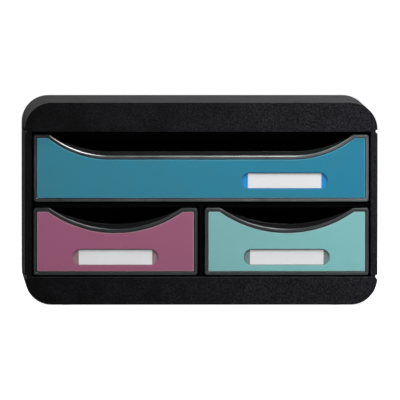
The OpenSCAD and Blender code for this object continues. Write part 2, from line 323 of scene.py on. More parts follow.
class Effects:
    """The shader node groups that the finishes share, each built once."""

    def __init__(self) -> None:
        """Builds every group."""
        self.grain = self._grain()
        self.edge_light = self._edge_light()
        self.dust = self._dust()
        self.tone = self._tone()
        self.recess = self._recess()
        self.mottle = self._mottle()
        self.smudges = self._smudges()

    @staticmethod
    def apply(sheet: NodeSheet, group: Tree, **inputs: Any) -> Socket:
        """Puts a group in a material and returns its result; inputs are named in lower case."""
        named = {name.capitalize(): value for name, value in inputs.items()}
        return sheet.out("ShaderNodeGroup", named, node_tree=group)

    @staticmethod
    def _grain() -> Tree:
        """Fine spark-eroded texture of a mould, as a height.

        Returns:
            The group.
        """
        sheet = GroupSheet("Moulded grain", {"Size": 0.8 * MM}, "Height")
        scale = sheet.math("DIVIDE", 1.0, sheet.given["Size"])
        pits = sheet.out("ShaderNodeTexVoronoi", {"Vector": sheet.place(), "Scale": scale})
        swells = sheet.noise(sheet.math("MULTIPLY", scale, 0.55), 4.0)
        low = sheet.math("MULTIPLY", pits, 0.45)
        high = sheet.math("MULTIPLY", swells, 1.4)
        return sheet.close(sheet.math("ADD", low, high))

    @staticmethod
    def _edge_light() -> Tree:
        """Where edges get a painted highlight, as a mask that is a little uneven along them.

        Returns:
            The group.
        """
        sheet = GroupSheet("Edge light", {"Strength": 0.5}, "Mask")
        mark = sheet.out("ShaderNodeAttribute", output="Fac", attribute_name=EDGE_HIGHLIGHT)
        uneven = sheet.remap(sheet.noise(70.0, 2.0), 0.3, 0.7, 0.7, 1.1)
        highlight_share = sheet.math("MULTIPLY", mark, uneven)
        return sheet.close(sheet.math("MULTIPLY", highlight_share, sheet.given["Strength"], clamp=True))

    @staticmethod
    def _dust() -> Tree:
        """Thin dust on faces that look up, as a mask.

        Returns:
            The group.
        """
        sheet = GroupSheet("Dust", {"Amount": 0.02}, "Mask")
        normal = sheet.out("ShaderNodeNewGeometry", output="Normal")
        upward = sheet.math("MAXIMUM", sheet.part(normal, "Z"), 0.0)
        settled = sheet.math("POWER", upward, 3.0)
        spread = sheet.remap(sheet.noise(420.0, 4.0, roughness=0.8), 0.35, 0.75, 0.2, 1.0)
        dusty = sheet.math("MULTIPLY", settled, spread)
        return sheet.close(sheet.math("MULTIPLY", dusty, sheet.given["Amount"], clamp=True))

    @staticmethod
    def _tone() -> Tree:
        """A colour that drifts from the left end of a piece to its right end, with a random sway;
        where the ends differ, the drift is painted light, paler where more light falls.

        Returns:
            The group.
        """
        inputs = {"Left": BLACK, "Right": BLACK, "Centre": 0.0, "Span": 0.3}
        sheet = GroupSheet("Tone drift", inputs, "Colour", COLOUR)
        given = sheet.given
        off = sheet.math("SUBTRACT", sheet.part(sheet.place(), "X"), given["Centre"])
        share = sheet.math("ADD", sheet.math("DIVIDE", off, given["Span"]), 0.5)
        sway = sheet.remap(sheet.noise(38.0, 3.0), 0.25, 0.75, -0.22, 0.22)
        mixed = sheet.math("ADD", share, sway, clamp=True)
        return sheet.close(sheet.blend(mixed, given["Left"], given["Right"]))

    @staticmethod
    def _recess() -> Tree:
        """What lies behind a depth from the front, as a mask for painted recess shading.

        Returns:
            The group.
        """
        sheet = GroupSheet("Recess", {"Start": 0.0}, "Mask")
        depth = sheet.part(sheet.place(), "Y")
        past = sheet.math("SUBTRACT", depth, sheet.given["Start"])
        return sheet.close(sheet.remap(past, 0.0, 0.3 * MM, 0.0, 1.0))

    @staticmethod
    def _mottle() -> Tree:
        """A colour that is darker in the pits of a height and paler on its crests: painted shade
        and painted highlight of the grain.

        Returns:
            The group.
        """
        inputs = {"Colour": BLACK, "Height": 1.0, "Amount": 0.5}
        sheet = GroupSheet("Mottle", inputs, "Colour", COLOUR)
        swing = sheet.remap(sheet.given["Height"], 0.75, 1.2, -1.0, 1.0)
        share = sheet.math("MULTIPLY", swing, sheet.given["Amount"])
        factor = sheet.math("ADD", share, 1.0)
        scaled = {0: sheet.given["Colour"], "Scale": factor}
        return sheet.close(sheet.out("ShaderNodeVectorMath", scaled, operation="SCALE"))

    @staticmethod
    def _smudges() -> Tree:
        """Roughness that handling has made uneven.

        Returns:
            The group.
        """
        inputs = {"Roughness": 0.4, "Spread": 0.08}
        sheet = GroupSheet("Handling smudges", inputs, "Roughness")
        swing = sheet.remap(sheet.noise(46.0, 4.0, distortion=0.6), 0.25, 0.75, -1.0, 1.0)
        change = sheet.math("MULTIPLY", swing, sheet.given["Spread"])
        return sheet.close(sheet.math("ADD", change, sheet.given["Roughness"], clamp=True))


# ---------------------------------------------------------------- finishes


@dataclass(frozen=True)
class MouldedPlastic:
    """Moulded plastic with its grain, painted grain shading, a tone that drifts from left to
    right partly as painted light, painted edge highlights, painted recess shading and dust.
    """

    name: str
    slot: Slot
    left: Colour
    right: Colour
    roughness: float
    grain_size: float
    grain_depth: float
    specular: float = 0.5
    centre: float = 0.0
    span: float = 0.355
    mottle: float = 0.0
    highlight_colour: Colour = (0.3, 0.3, 0.31, 1.0)
    highlight_strength: float = 0.0
    dust: float = 0.0
    smudge: float = 0.06
    recess_start: float = 0.0
    recess_shading: Colour | None = None

    def material(self, effects: Effects) -> bpy.types.Material:
        """Builds the material.

        Args:
            effects: The shared node groups.

        Returns:
            The material.
        """
        sheet = MaterialSheet(self.name)
        ends = {"left": self.left, "right": self.right}
        # The colour drifts from the left end to the right one; where the ends differ this is
        # painted light, paler where more light falls.
        tone = effects.apply(sheet, effects.tone, centre=self.centre, span=self.span, **ends)
        height = effects.apply(sheet, effects.grain, size=self.grain_size)
        # The grain's pits are painted darker and its crests paler: painted shade and highlight of
        # the grain.
        swing = {"height": height, "amount": self.mottle}
        colour = effects.apply(sheet, effects.mottle, colour=tone, **swing)
        # Behind the recess start the colour is swapped for painted recess shading.
        if self.recess_shading:
            recessed = effects.apply(sheet, effects.recess, start=self.recess_start)
            colour = sheet.blend(recessed, colour, self.recess_shading)
        # Marked edges get a paler colour: a painted highlight.
        highlight_share = effects.apply(sheet, effects.edge_light, strength=self.highlight_strength)
        colour = sheet.blend(highlight_share, colour, self.highlight_colour)
        dusty = effects.apply(sheet, effects.dust, amount=self.dust)
        feel = {"roughness": self.roughness, "spread": self.smudge}
        return sheet.close(
            {
                "Base Color": sheet.blend(dusty, colour, DUST_TONE),
                "Roughness": effects.apply(sheet, effects.smudges, **feel),
                "Normal": sheet.bump(height, self.grain_depth),
                "Specular IOR Level": self.specular,
            }
        )


@dataclass(frozen=True)
class CardStock:
    """White card with a little fibre in it."""

    name: str = "label_card_stock"
    slot: Slot = Slot.CARD
    white: Colour = (0.97, 0.965, 0.97, 1.0)
    grey: Colour = (0.91, 0.91, 0.92, 1.0)
    fibre_depth: float = 0.03 * MM

    def material(self, effects: Effects) -> bpy.types.Material:
        """Builds the material.

        Args:
            effects: The shared node groups.

        Returns:
            The material.
        """
        sheet = MaterialSheet(self.name)
        fibres = sheet.noise(900.0, 5.0, roughness=0.7, distortion=1.5)
        share = sheet.remap(fibres, 0.4, 0.7, 0.0, 1.0)
        return sheet.close(
            {
                "Base Color": sheet.blend(share, self.white, self.grey),
                "Roughness": effects.apply(sheet, effects.smudges, roughness=0.8, spread=0.05),
                "Normal": sheet.bump(fibres, self.fibre_depth, 0.4),
                "Specular IOR Level": 0.3,
            }
        )


@dataclass(frozen=True)
class ClearPlastic:
    """Thin clear plastic that shows mostly by its gloss."""

    name: str = "clear_window_plastic"
    slot: Slot = Slot.WINDOW
    tint: Colour = (0.1, 0.13, 0.15, 1.0)
    cover: float = 0.07
    rim_cover: float = 0.2

    def material(self, effects: Effects) -> bpy.types.Material:
        """Builds the material.

        Args:
            effects: The shared node groups.

        Returns:
            The material.
        """
        sheet = MaterialSheet(self.name)
        rim = effects.apply(sheet, effects.edge_light, strength=self.rim_cover)
        return sheet.close(
            {
                "Base Color": self.tint,
                "Roughness": effects.apply(sheet, effects.smudges, roughness=0.12, spread=0.06),
                "Alpha": sheet.math("ADD", rim, self.cover, clamp=True),
                "Specular IOR Level": 0.5,
            }
        )


Finish = MouldedPlastic | CardStock | ClearPlastic

DRAWER_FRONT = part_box("wide_drawer_tray")[0].y
# The case is painted paler towards the right as painted light, where more light falls, and its
# grain gets painted shade in its pits and painted highlight on its crests.
CASE_PLASTIC = MouldedPlastic(
    name="case_textured_black",
    slot=Slot.CASE,
    left=(0.0010, 0.0009, 0.0012, 1.0),
    right=(0.0138, 0.0136, 0.0172, 1.0),
    roughness=0.5,
    grain_size=1.2 * MM,
    grain_depth=0.25 * MM,
    specular=0.1,
    mottle=0.75,
    dust=0.014,
)
INNER_PLASTIC = MouldedPlastic(
    name="inner_plain_black",
    slot=Slot.INNER,
    left=(0.0009, 0.0009, 0.0011, 1.0),
    right=(0.0012, 0.0012, 0.0014, 1.0),
    roughness=0.6,
    grain_size=1.2 * MM,
    grain_depth=0.05 * MM,
    specular=0.03,
    dust=0.002,
)
# The trays' rims are painted paler towards the right as painted light; their edges get a painted
# highlight, and everything behind 1.4 mm from the front gets painted shade.
TRAY_PLASTIC = MouldedPlastic(
    name="tray_satin_black",
    slot=Slot.TRAY,
    left=(0.019, 0.022, 0.023, 1.0),
    right=(0.046, 0.052, 0.054, 1.0),
    roughness=0.2,
    grain_size=0.6 * MM,
    grain_depth=0.01 * MM,
    specular=0.6,
    smudge=0.03,
    highlight_colour=(0.16, 0.17, 0.18, 1.0),
    highlight_strength=0.12,
    dust=0.006,
    recess_start=DRAWER_FRONT + 1.4 * MM,
    recess_shading=(0.0008, 0.0011, 0.0013, 1.0),
)
# The wide tray is painted much paler towards the right as painted light, and its painted recess
# shade is lighter, for the band behind the scoop.
WIDE_TRAY_PLASTIC = replace(
    TRAY_PLASTIC,
    name="wide_tray_satin_black",
    left=(0.022, 0.026, 0.028, 1.0),
    right=(0.130, 0.145, 0.150, 1.0),
    specular=1.0,
    recess_shading=(0.006, 0.0075, 0.008, 1.0),
)
# The teal plate is painted paler and bluer towards the right as painted light; its rounded edge
# gets a painted highlight, and its label pocket behind 1.5 mm from the front a brighter blue as a
# painted sheen.
TEAL_PLASTIC = MouldedPlastic(
    name="plate_satin_teal",
    slot=Slot.TEAL,
    left=(0.030, 0.190, 0.262, 1.0),
    right=(0.012, 0.206, 0.330, 1.0),
    roughness=0.42,
    grain_size=0.7 * MM,
    grain_depth=0.03 * MM,
    specular=0.35,
    span=0.36,
    highlight_colour=(0.06, 0.27, 0.37, 1.0),
    highlight_strength=1.0,
    recess_start=DRAWER_FRONT + 1.5 * MM,
    recess_shading=(0.003, 0.32, 0.78, 1.0),
)
# The plum plate's rounded edge gets a painted highlight, and its label pocket a paler, greyer
# pink as painted light.
PLUM_PLASTIC = replace(
    TEAL_PLASTIC,
    name="plate_satin_plum",
    slot=Slot.PLUM,
    left=(0.305, 0.090, 0.172, 1.0),
    right=(0.300, 0.094, 0.168, 1.0),
    grain_size=1.1 * MM,
    grain_depth=0.06 * MM,
    centre=-0.086,
    span=0.17,
    highlight_colour=(0.33, 0.21, 0.225, 1.0),
    highlight_strength=0.9,
    recess_shading=(0.37, 0.20, 0.235, 1.0),
)
# The aqua plate is painted paler towards the right as painted light; its rounded edge gets a
# painted highlight, and its label pocket a darker, greyer colour as painted shade.
AQUA_PLASTIC = replace(
    PLUM_PLASTIC,
    name="plate_satin_aqua",
    slot=Slot.AQUA,
    left=(0.190, 0.420, 0.425, 1.0),
    right=(0.205, 0.490, 0.490, 1.0),
    centre=-PLUM_PLASTIC.centre,
    highlight_colour=(0.30, 0.46, 0.45, 1.0),
    recess_shading=(0.2, 0.28, 0.285, 1.0),
)
FOOT_RUBBER = MouldedPlastic(
    name="foot_black_rubber",
    slot=Slot.RUBBER,
    left=(0.02, 0.02, 0.02, 1.0),
    right=(0.026, 0.026, 0.026, 1.0),
    roughness=0.85,
    grain_size=0.5 * MM,
    grain_depth=0.03 * MM,
    specular=0.3,
    smudge=0.04,
)


class Paints:
    """Every finish's material, made once and handed out by its finish."""

    def __init__(self) -> None:
        """Builds the shared effects."""
        self.effects = Effects()
        self.made: dict[str, bpy.types.Material] = {}

    def of(self, finish: Finish) -> bpy.types.Material:
        """The material of a finish.

        Args:
            finish: One of the finishes above.

        Returns:
            Its material.
        """
        if finish.name not in self.made:
            self.made[finish.name] = finish.material(self.effects)
        return self.made[finish.name]


# ---------------------------------------------------------------- outlines and skins


def arc(centre: Point, radius: float, start: float, end: float, steps: int) -> list[Point]:
    """Points along an arc, both ends included, from a start to an end angle in degrees."""
    turns = [math.radians(start + (end - start) * i / steps) for i in range(steps + 1)]
    return [(centre[0] + radius * math.cos(t), centre[1] + radius * math.sin(t)) for t in turns]


def rounded_rectangle(half_w: float, half_h: float, radius: float) -> list[Point]:
    """A rectangle with round corners, round its middle, turning left from its lower left.

    Args:
        half_w: Half of its width.
        half_h: Half of its height.
        radius: Radius of its corners.

    Returns:
        Its points.
    """
    x, z = half_w - radius, half_h - radius
    corners = [((-x, -z), 180), ((x, -z), 270), ((x, z), 0), ((-x, z), 90)]
    return [p for c, a in corners for p in arc(c, radius, a, a + 90, ARC_STEPS)]


def obround(half_w: float, half_h: float) -> list[Point]:
    """A straight-sided shape with round ends, round its middle, turning left.

    Args:
        half_w: Half of its width.
        half_h: Half of its height, which is also the radius of its ends.

    Returns:
        Its points.
    """
    x = half_w - half_h
    right = arc((x, 0), half_h, -90, 90, 4 * ARC_STEPS)
    return right + arc((-x, 0), half_h, 90, 270, 4 * ARC_STEPS)


def fillet(radius: float) -> list[Point]:
    """Steps round an edge: how far in each step lies, and how far down from the face."""
    return [(radius + x, radius + z) for x, z in arc((0, 0), radius, 270, 180, FILLET_STEPS)]


def bevelled_edge(height: float, radius: float) -> list[Point]:
    """Steps from a face round an edge with a slanting bevel: how far in and how deep each lies.

    Args:
        height: Height of the bevel, seen square to the face.
        radius: Radius of the rounding at both of its ends.

    Returns:
        The steps, from the face to the side.
    """
    near, far = math.radians(24), math.radians(38)
    slant = height / (math.sin(far) - math.sin(near))
    turns = ((radius, 0.0, near), (slant, near, far), (radius, far, math.pi / 2))
    steps = [(0.0, 0.0)]
    for bend, start, end in turns:
        inset, depth = steps[-1]
        for i in range(1, BEVEL_STEPS + 1):
            turn = start + (end - start) * i / BEVEL_STEPS
            out = bend * (math.sin(turn) - math.sin(start))
            back = bend * (math.cos(start) - math.cos(turn))
            steps.append((inset - out, depth + back))
    edge = steps[-1][0]
    return [(inset - edge, depth) for inset, depth in steps]


@dataclass(frozen=True)
class ScoopedOutline:
    """Outline of a drawer front: a rounded rectangle with a scoop in its top edge."""

    width: float
    height: float
    corner: float
    shoulder: float
    scoop_depth: float
    scoop_flat: float
    least_corner: float = 1.0 * MM

    def points(self, inset: float = 0.0, side: float = 0.0, rise: float = 0.0) -> list[Point]:
        """The outline, turning left from its lower left corner.

        Args:
            inset: How far the whole outline is drawn in.
            side: How much further its two sides are drawn in.
            rise: How much higher the bottom of the scoop lies.

        Returns:
            The same number of points for any arguments.
        """
        half = self.width / 2 - inset - side
        low, high = inset, self.height - inset
        radius = max(self.corner - inset, self.least_corner)
        x = half - radius
        ring = arc((-x, low + radius), radius, 180, 270, ARC_STEPS)
        ring += arc((x, low + radius), radius, 270, 360, ARC_STEPS)
        ring += arc((x, high - radius), radius, 0, 90, ARC_STEPS)
        ring += self.scoop(rise, inset)
        return ring + arc((-x, high - radius), radius, 90, 180, ARC_STEPS)

    def scoop(self, rise: float = 0.0, inset: float = 0.0) -> list[Point]:
        """The scoop alone, from its right shoulder to its left one.

        Args:
            rise: How much higher its bottom lies.
            inset: How far the outline is drawn in.

        Returns:
            The same number of points for any arguments.
        """
        high, depth = self.height - inset, self.scoop_depth - rise
        run = self.width / 2 - self.shoulder - self.scoop_flat / 2
        radius = (run * run + depth * depth) / (2 * depth) + inset
        centre = (self.scoop_flat / 2, self.height - depth - inset + radius)
        drop = high - centre[1]
        reach = math.sqrt(radius * radius - drop * drop)
        start = math.degrees(math.atan2(drop, reach))
        right = arc(centre, radius, start, -90, SCOOP_STEPS)
        left = [(-x, z) for x, z in reversed(right)]
        return right + (left if self.scoop_flat else left[1:])


class Skin:
    """A closed skin drawn through rings of equal length, from end face to end face."""

    def __init__(self) -> None:
        """Starts with no ring."""
        self.mesh = bmesh.new()
        self.light = self.mesh.verts.layers.float.new(EDGE_HIGHLIGHT)
        self.last: list[bmesh.types.BMVert] = []

    def ring(self, places: Iterable[Place], light: float = 0.0) -> None:
        """Adds the next ring.

        Args:
            places: Its corners.
            light: How much painted highlight its edge gets, from 0 to 1.
        """
        ring = [self.mesh.verts.new(place) for place in places]
        for vert in ring:
            vert[self.light] = light
        if self.last:
            for i, vert in enumerate(ring):
                self.mesh.faces.new((self.last[i - 1], self.last[i], vert, ring[i - 1]))
        else:
            self.mesh.faces.new(ring)
        self.last = ring

    def close(self, name: str) -> Solid:
        """Adds the second end face and makes the object.

        Args:
            name: The object's name.

        Returns:
            The object, in the scene.
        """
        self.mesh.faces.new(list(reversed(self.last)))
        bmesh.ops.recalc_face_normals(self.mesh, faces=self.mesh.faces)
        return object_from(self.mesh, name)


def object_from(mesh: bmesh.types.BMesh, name: str) -> Solid:
    """Turns an edit mesh into an object in the scene.

    Args:
        mesh: The edit mesh, which is freed.
        name: The object's name.

    Returns:
        The object.
    """
    data = bpy.data.meshes.new(name)
    mesh.to_mesh(data)
    mesh.free()
    made = bpy.data.objects.new(name, data)
    bpy.context.scene.collection.objects.link(made)
    return made


def facing(points: Iterable[Point], y: float, origin: Vector) -> list[Place]:
    """Sets an outline seen from the front at a depth behind the origin."""
    return [(origin.x + x, origin.y + y, origin.z + z) for x, z in points]


def seen_from_above(points: Iterable[Point], z: float, origin: Vector) -> list[Place]:
    """Sets an outline seen from above at a height over the origin."""
    return [(origin.x + x, origin.y + y, origin.z + z) for x, y in points]


def middle_of(node: str) -> Vector:
    """Middle of a frame node as seen from the front, at the depth of its front."""
    low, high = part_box(node)
    return Vector(((low.x + high.x) / 2, low.y, (low.z + high.z) / 2))


# ---------------------------------------------------------------- joining and finishing


def settle(source: Solid, *spent: Solid) -> Solid:
    """Turns an object with modifiers into a plain mesh object of the same name.

    Args:
        source: The object, which is removed.
        *spent: Other objects that its modifiers used, which are removed too.

    Returns:
        The plain object.

    Raises:
        ValueError: If nothing is left of it.
    """
    name = source.name
    depsgraph = bpy.context.evaluated_depsgraph_get()
    mesh = bpy.data.meshes.new_from_object(
        source.evaluated_get(depsgraph), preserve_all_data_layers=True, depsgraph=depsgraph
    )
    if not mesh.polygons:
        raise ValueError(f"{name} came out empty")
    for old in (source, *spent):
        bpy.data.objects.remove(old)
    made = bpy.data.objects.new(name, mesh)
    bpy.context.scene.collection.objects.link(made)
    return made


def carve(base: Solid, added: Sequence[Solid] = (), cut: Sequence[Solid] = ()) -> Solid:
    """Joins solids to a solid and cuts others out of it.

    Args:
        base: The first solid.
        added: Solids that become one with it.
        cut: Solids whose space is taken out of it afterwards.

    Returns:
        The finished solid.
    """
    for operation, tools in (("UNION", added), ("DIFFERENCE", cut)):
        for tool in tools:
            change = base.modifiers.new(tool.name, "BOOLEAN")
            change.operation = operation
            change.solver = "EXACT"
            change.object = tool
    return settle(base, *added, *cut)


def mark_edges(piece: Solid, start: float, end: float) -> None:
    """Gives the painted edge highlight to a piece's corners between two depths, and to no others.

    Args:
        piece: The piece.
        start: The shallower depth, as a place on the front-to-back axis.
        end: The deeper one.
    """
    mesh = bmesh.new()
    mesh.from_mesh(piece.data)
    mark = mesh.verts.layers.float[EDGE_HIGHLIGHT]
    for vert in mesh.verts:
        vert[mark] = float(start < vert.co.y < end)
    mesh.to_mesh(piece.data)
    mesh.free()


def soften(piece: Solid, radius: float, steps: int = 2) -> Solid:
    """Rounds a piece's sharp edges, as a mould leaves them.

    Args:
        piece: The piece, which is removed.
        radius: Radius of the rounding.
        steps: Number of faces round each edge.

    Returns:
        The rounded piece.
    """
    bevel = piece.modifiers.new("rounded edges", "BEVEL")
    bevel.width = radius
    bevel.segments = steps
    bevel.limit_method = "ANGLE"
    bevel.angle_limit = SHARP_ANGLE
    bevel.harden_normals = False
    return settle(piece)


def copy_of(node: str, name: str) -> Solid:
    """Copies a frame node's mesh and merges its loose triangles into whole faces.

    Args:
        node: The node.
        name: The copy's name.

    Returns:
        The copy.
    """
    mesh = bmesh.new()
    mesh.from_mesh(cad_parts[node].data)
    bmesh.ops.remove_doubles(mesh, verts=mesh.verts, dist=MERGE_DISTANCE)
    bmesh.ops.dissolve_limit(
        mesh,
        angle_limit=FLAT_ANGLE,
        verts=mesh.verts,
        edges=mesh.edges,
        delimit={"NORMAL"},
    )
    return object_from(mesh, name)


def present(piece: Solid, body: Body, finish: Finish, paints: Paints, *nodes: str) -> Solid:
    """Shades a piece, puts it on its body and reports it.

    Args:
        piece: The finished mesh object.
        body: The body that it rides on.
        finish: Its finish.
        paints: The materials.
        *nodes: The frame's nodes that it stands for.

    Returns:
        The piece.
    """
    piece.data.materials.clear()
    piece.data.materials.append(paints.of(finish))
    piece.data.shade_smooth()
    piece.data.set_sharp_from_angle(angle=CREASE_ANGLE)
    even = piece.modifiers.new("even shading", "WEIGHTED_NORMAL")
    even.keep_sharp = True
    piece = settle(piece)
    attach(piece, body.value)
    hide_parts(*nodes)
    LOG.info("%s: %d faces, on %s", piece.name, len(piece.data.polygons), body.value)
    return piece


# ---------------------------------------------------------------- geometry node trees


CAP_LENGTHS = (
    "Width",
    "Depth",
    "Height",
    "Corner",
    "Wall",
    "Groove depth",
    "Groove height",
    "Groove length",
    "Rib pitch",
    "Rib thickness",
    "Rib height",
)


def cap_tree() -> Tree:
    """A rounded, hollow, ribbed cap whose open side lies at height 0.

    Returns:
        The tree.
    """
    sheet = ShapeSheet("Rounded cap", {label: 0.0 for label in CAP_LENGTHS})
    size, vector, times = sheet.given, sheet.vector, sheet.times
    width, depth, height, wall = (size[label] for label in ("Width", "Depth", "Height", "Wall"))

    def block(x: Any, y: Any, z: Any) -> Socket:
        """A block of these full lengths, round the origin."""
        return sheet.out("GeometryNodeMeshCube", {"Size": vector(x, y, z)})

    def log(across: Any, up: Any, radius: Any, along: Any) -> Socket:
        """A solid of rounded section, lying front to back; half of it is under height 0.

        Args:
            across: Its width.
            up: Its height over height 0.
            radius: Radius of its long edges.
            along: Its length from front to back.

        Returns:
            The solid.
        """
        section = {"Width": across, "Height": times(up, 2.0)}
        outline = sheet.out("GeometryNodeCurvePrimitiveQuadrilateral", section)
        corners = {"Curve": outline, "Count": 2 * ARC_STEPS, "Radius": radius}
        rounded = sheet.out("GeometryNodeFilletCurve", corners, mode="POLY")
        ends = {"Start": vector(y=times(along, -0.5)), "End": vector(y=times(along, 0.5))}
        path = sheet.out("GeometryNodeCurvePrimitiveLine", ends)
        sweep = {"Curve": path, "Profile Curve": rounded, "Fill Caps": True}
        return sheet.out("GeometryNodeCurveToMesh", sweep)

    def row(count: int, start: Socket, pitch: Any) -> Socket:
        """Points in a row across."""
        line = {"Count": count, "Start Location": start, "Offset": vector(pitch)}
        return sheet.out("GeometryNodeMeshLine", line)

    def boolean(operation: str, solids: dict[str, Any]) -> Socket:
        """One solid from several, by an exact boolean."""
        return sheet.out("GeometryNodeMeshBoolean", solids, operation=operation, solver="EXACT")

    outer = log(width, height, size["Corner"], depth)
    inner_height = sheet.math("SUBTRACT", height, wall)
    inner_depth = sheet.math("SUBTRACT", depth, times(wall, 2.0))
    inner_width = sheet.math("SUBTRACT", width, times(wall, 2.0))
    inner_corner = sheet.math("SUBTRACT", size["Corner"], wall)
    cavity = log(inner_width, inner_height, inner_corner, inner_depth)
    doubled = block(times(width, 2.0), times(depth, 2.0), times(height, 2.0))
    below = sheet.moved(doubled, times(height, -1.0))
    front_edges = row(2, vector(times(width, -0.5), times(depth, -0.5)), width)
    groove = block(*(times(size[f"Groove {way}"], 2.0) for way in ("depth", "length", "height")))
    grooves = sheet.on_points(front_edges, groove)
    shell = boolean("DIFFERENCE", {"Mesh 1": outer, "Mesh 2": [cavity, below, grooves]})
    middle = sheet.math("SUBTRACT", inner_height, times(size["Rib height"], 0.5))
    first_rib = vector(times(size["Rib pitch"], (1 - RIB_COUNT) / 2), z=middle)
    places = row(RIB_COUNT, first_rib, size["Rib pitch"])
    rib_length = sheet.math("ADD", inner_depth, wall)
    rib = block(size["Rib thickness"], rib_length, sheet.math("ADD", size["Rib height"], wall))
    return sheet.close(boolean("UNION", {"Mesh 2": [shell, sheet.on_points(places, rib)]}))


def foot_tree() -> Tree:
    """A round foot with ringed tread on every point of the mesh that carries the tree.

    Returns:
        The tree.
    """
    inputs = {
        "Geometry": GEOMETRY,
        "Radius": 7 * MM,
        "Height": 2.5 * MM,
        "Ring thickness": 0.3 * MM,
        "Ring pitch": 1.5 * MM,
        "Rings": 4,
    }
    sheet = ShapeSheet("Ringed foot", inputs)
    size = sheet.given
    thick = size["Ring thickness"]
    plug_height = sheet.math("SUBTRACT", size["Height"], thick)
    round_plug = {"Vertices": PLUG_SIDES, "Radius": size["Radius"], "Depth": plug_height}
    plug = sheet.out("GeometryNodeMeshCylinder", round_plug)
    raised = sheet.moved(plug, sheet.math("ADD", sheet.times(plug_height, 0.5), thick))
    number = sheet.math("ADD", sheet.out("GeometryNodeInputIndex"), 1.0)
    reach = sheet.math("MULTIPLY", number, size["Ring pitch"])
    seeds = sheet.out("GeometryNodeMeshLine", {"Count": size["Rings"], "Offset": (0, 0, 0)})
    round_line = "GeometryNodeCurvePrimitiveCircle"
    unit = sheet.out(round_line, {"Resolution": TREAD_SIDES, "Radius": 1.0})
    circles = sheet.on_points(seeds, unit, scale=sheet.vector(reach, reach, 1.0))
    cord = sheet.out(round_line, {"Resolution": CORD_SIDES, "Radius": thick})
    tread = sheet.out("GeometryNodeCurveToMesh", {"Curve": circles, "Profile Curve": cord})
    foot = sheet.out("GeometryNodeJoinGeometry", {0: [raised, sheet.moved(tread, thick)]})
    return sheet.close(sheet.on_points(size["Geometry"], foot))


def grow(carrier: Solid, tree: Tree, values: dict[str, Any]) -> Solid:
    """Runs a geometry tree on an object, with its inputs set by their identifiers.

    Args:
        carrier: The object, which is removed.
        tree: The tree.
        values: The value of each named input.

    Returns:
        What the tree made of it.
    """
    identifiers = {
        item.name: item.identifier
        for item in tree.interface.items_tree
        if item.item_type == "SOCKET" and item.in_out == "INPUT"
    }
    modifier = carrier.modifiers.new(tree.name, "NODES")
    modifier.node_group = tree
    for name, value in values.items():
        modifier[identifiers[name]] = value
    return settle(carrier)


# ---------------------------------------------------------------- the case


